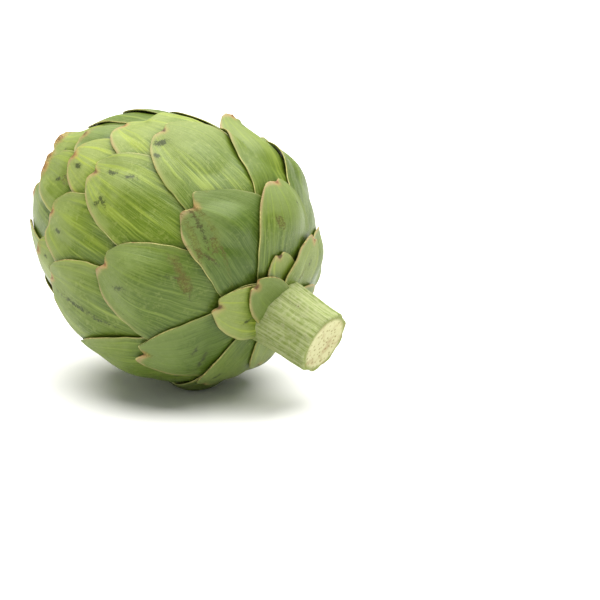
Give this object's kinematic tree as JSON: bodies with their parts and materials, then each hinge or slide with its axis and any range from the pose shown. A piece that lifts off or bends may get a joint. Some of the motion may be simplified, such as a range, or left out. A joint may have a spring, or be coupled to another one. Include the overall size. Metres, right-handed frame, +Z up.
{
  "type": "artichoke",
  "caption": "Whole globe artichoke lying on its side: a closed head of overlapping green bracts on a short cut stem.",
  "frame": {"origin": "centre of the object's footprint box, on the floor plane z = 0", "axes": "+Z up. +X along the longest extent, which runs from the apex of the head at -X to the cut end of the stem at +X"},
  "size_m": [0.1218, 0.1118, 0.1091],
  "materials": {
    "bract": "satin",
    "stem": "matte"
  },
  "bodies": {
    "root": {"bract_head": "bract", "stem": "stem"}
  },
  "joints": []
}
